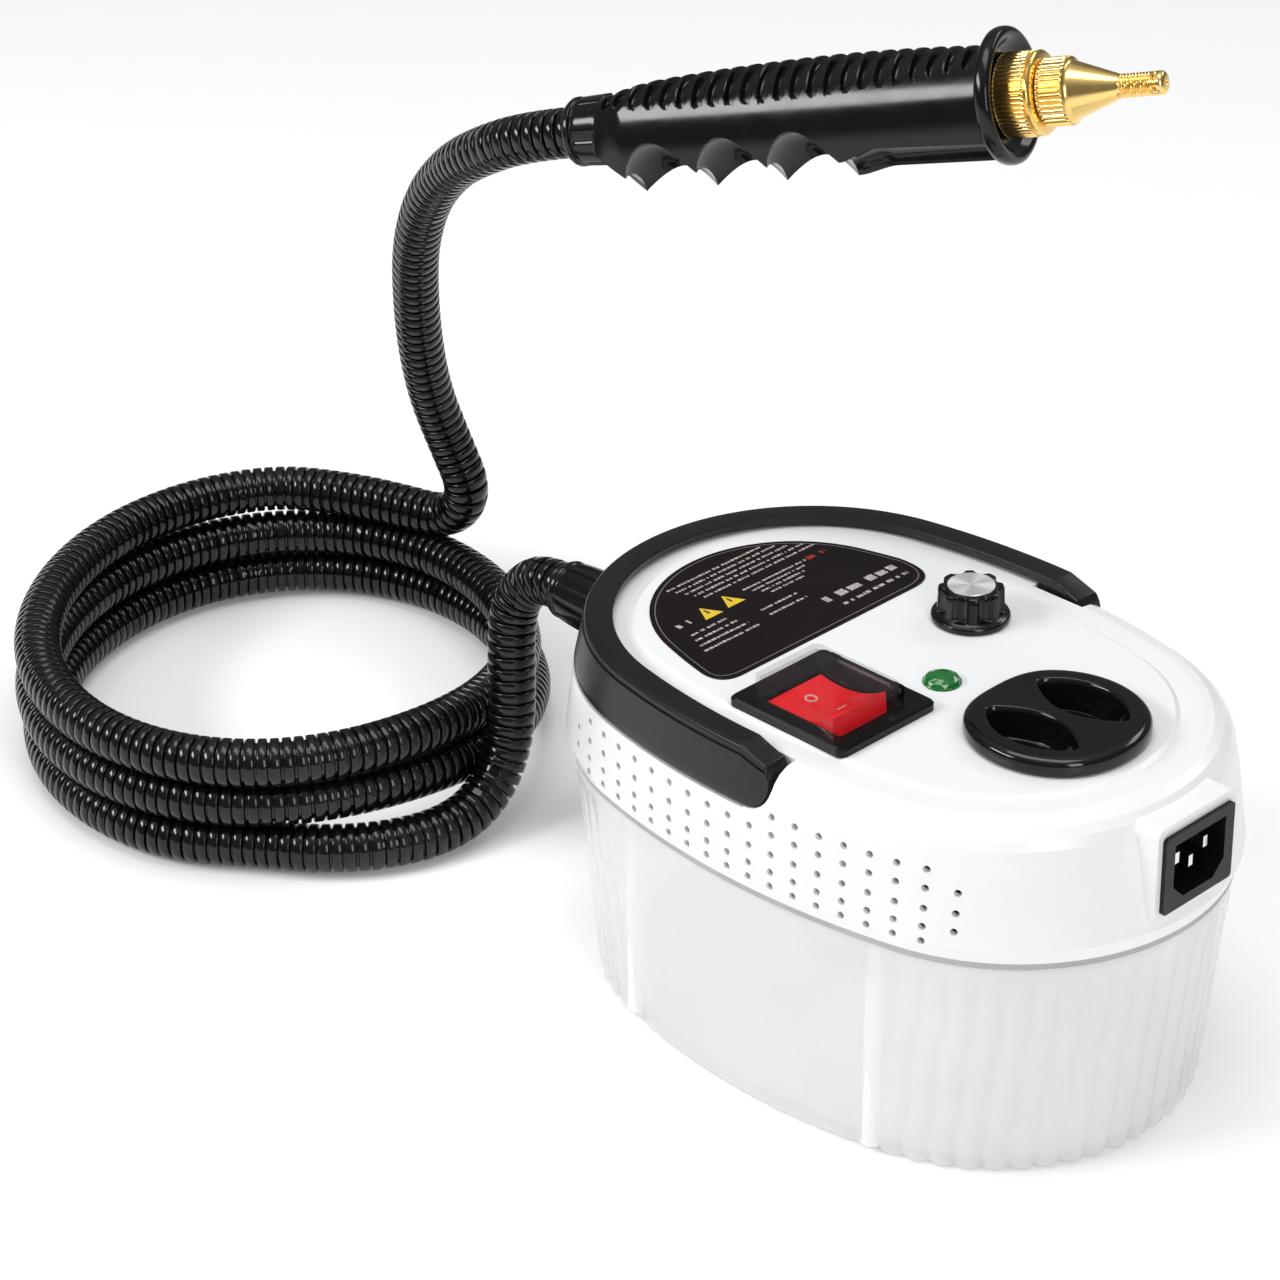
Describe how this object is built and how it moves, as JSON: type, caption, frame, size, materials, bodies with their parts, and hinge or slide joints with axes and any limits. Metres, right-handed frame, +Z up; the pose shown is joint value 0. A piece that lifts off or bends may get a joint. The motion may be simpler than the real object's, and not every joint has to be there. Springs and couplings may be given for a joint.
{
  "type": "steam cleaner",
  "caption": "Portable steam cleaner with an oval water tank, a folding carry handle, panel controls, and a coiled ribbed hose with a hand gun and brass nozzle.",
  "frame": {"origin": "centre of the tank's flat bottom, which is where the machine stands", "axes": "+X towards the mains inlet, -X towards the hose gland, -Y towards the side with the power switch, +Z up"},
  "size_m": [0.5358, 0.2403, 0.3242],
  "materials": {
    "tank_clear": "clear, slightly frosted",
    "seal_rubber": "matt grey",
    "housing_white": "moulded white",
    "chassis_plastic": "plain moulded",
    "handle_black": "fine satin texture",
    "label_dark": "printed film",
    "switch_black": "glossy",
    "rocker_red": "translucent red",
    "cover_smoke": "clear, light smoke tint",
    "knob_black": "glossy",
    "disc_aluminium": "spun",
    "lamp_green": "translucent green",
    "cap_black": "high gloss",
    "inlet_black": "satin",
    "blade_metal": "nickel plated",
    "hose_black": "gloss corrugated",
    "grip_black": "satin gloss",
    "brass": "machined",
    "boiler_aluminium": "as cast",
    "steel": "zinc plated",
    "board_green": "solder mask",
    "component_black": "moulded",
    "tube_silicone": "milky"
  },
  "bodies": {
    "body": {"water_tank": "tank_clear", "tank_gasket": "seal_rubber", "chassis_plate": "chassis_plastic", "top_housing": "housing_white", "handle_pivot_pins": "steel", "switch_bezel": "switch_black", "cover_hinge_pin": "steel", "switch_body": "switch_black", "switch_terminals": "blade_metal", "potentiometer": "component_black", "potentiometer_nut": "steel", "lamp_lens": "lamp_green", "lamp_body": "component_black", "label_plate": "label_dark", "filler_neck": "chassis_plastic", "inlet_socket": "inlet_black", "inlet_blades": "blade_metal", "boiler_lower": "boiler_aluminium", "boiler_upper": "boiler_aluminium", "heating_element": "steel", "boiler_screws": "steel", "chassis_spacers": "steel", "thermostat": "component_black", "thermal_fuse": "component_black", "pump_inlet_fitting": "chassis_plastic", "pump_coil": "component_black", "pump_yoke": "steel", "pump_spring": "steel", "pump_outlet_fitting": "brass", "feed_tube": "tube_silicone", "suction_tube": "tube_silicone", "suction_filter": "chassis_plastic", "steam_pipe": "tube_silicone", "gland_bushing": "brass", "gland_nut": "brass", "hose_gland": "grip_black", "circuit_board": "board_green", "board_components": "component_black", "heat_sink": "boiler_aluminium", "chassis_screws": "steel", "hose_lead": "hose_black", "hose_riser": "hose_black", "hose_coil": "hose_black", "gun_collar": "grip_black", "grip_shell_near": "grip_black", "grip_shell_far": "grip_black", "grip_screws": "steel", "gun_flange": "grip_black", "gun_tube": "brass", "steam_nozzle": "brass"},
    "handle": {"carry_handle": "handle_black"},
    "rocker": {"power_rocker": "rocker_red"},
    "cover": {"switch_cover": "cover_smoke"},
    "knob": {"steam_knob": "knob_black", "knob_disc": "disc_aluminium", "knob_shaft": "steel"},
    "cap_ring": {"cap_seal": "seal_rubber"},
    "cap": {"filler_cap": "cap_black"},
    "plunger": {"pump_plunger": "steel"},
    "nozzle_ring": {"coupling_ring": "brass"}
  },
  "joints": [
    {"name": "handle_swing", "type": "hinge", "parent": "body", "child": "handle", "pos_m": [0.009, 0, 0.1285], "axis": [0, 1, 0], "range_deg": [0, 90]},
    {"name": "rocker_tilt", "type": "hinge", "parent": "body", "child": "rocker", "pos_m": [0.008, -0.042, 0.1315], "axis": [0, 1, 0], "range_deg": [0, 20]},
    {"name": "cover_flip", "type": "hinge", "parent": "body", "child": "cover", "pos_m": [0.0066, -0.024, 0.1406], "axis": [-1, 0, 0], "range_deg": [0, 110]},
    {"name": "knob_turn", "type": "hinge", "parent": "body", "child": "knob", "pos_m": [-0.0011, 0.037, 0.14], "axis": [0, 0, -1], "range_deg": [0, 300]},
    {"name": "cap_lift", "type": "slide", "parent": "body", "child": "cap_ring", "axis": [0, 0, 1], "range_m": [0, 0.03]},
    {"name": "cap_turn", "type": "hinge", "parent": "cap_ring", "child": "cap", "pos_m": [0.0685, 0, 0.135], "axis": [0, 0, 1], "range_deg": [0, 90]},
    {"name": "plunger_slide", "type": "slide", "parent": "body", "child": "plunger", "axis": [0, 0, 1], "range_m": [0, 0.0025], "stiffness_N_per_m": 500, "springref_m": -0.002, "deforming": ["pump_spring"]},
    {"name": "nozzle_ring_spin", "type": "hinge", "parent": "body", "child": "nozzle_ring", "pos_m": [-0.02302, 0.08527, 0.30357], "axis": [0.9162, 0.3247, 0.2347], "continuous": true}
  ]
}
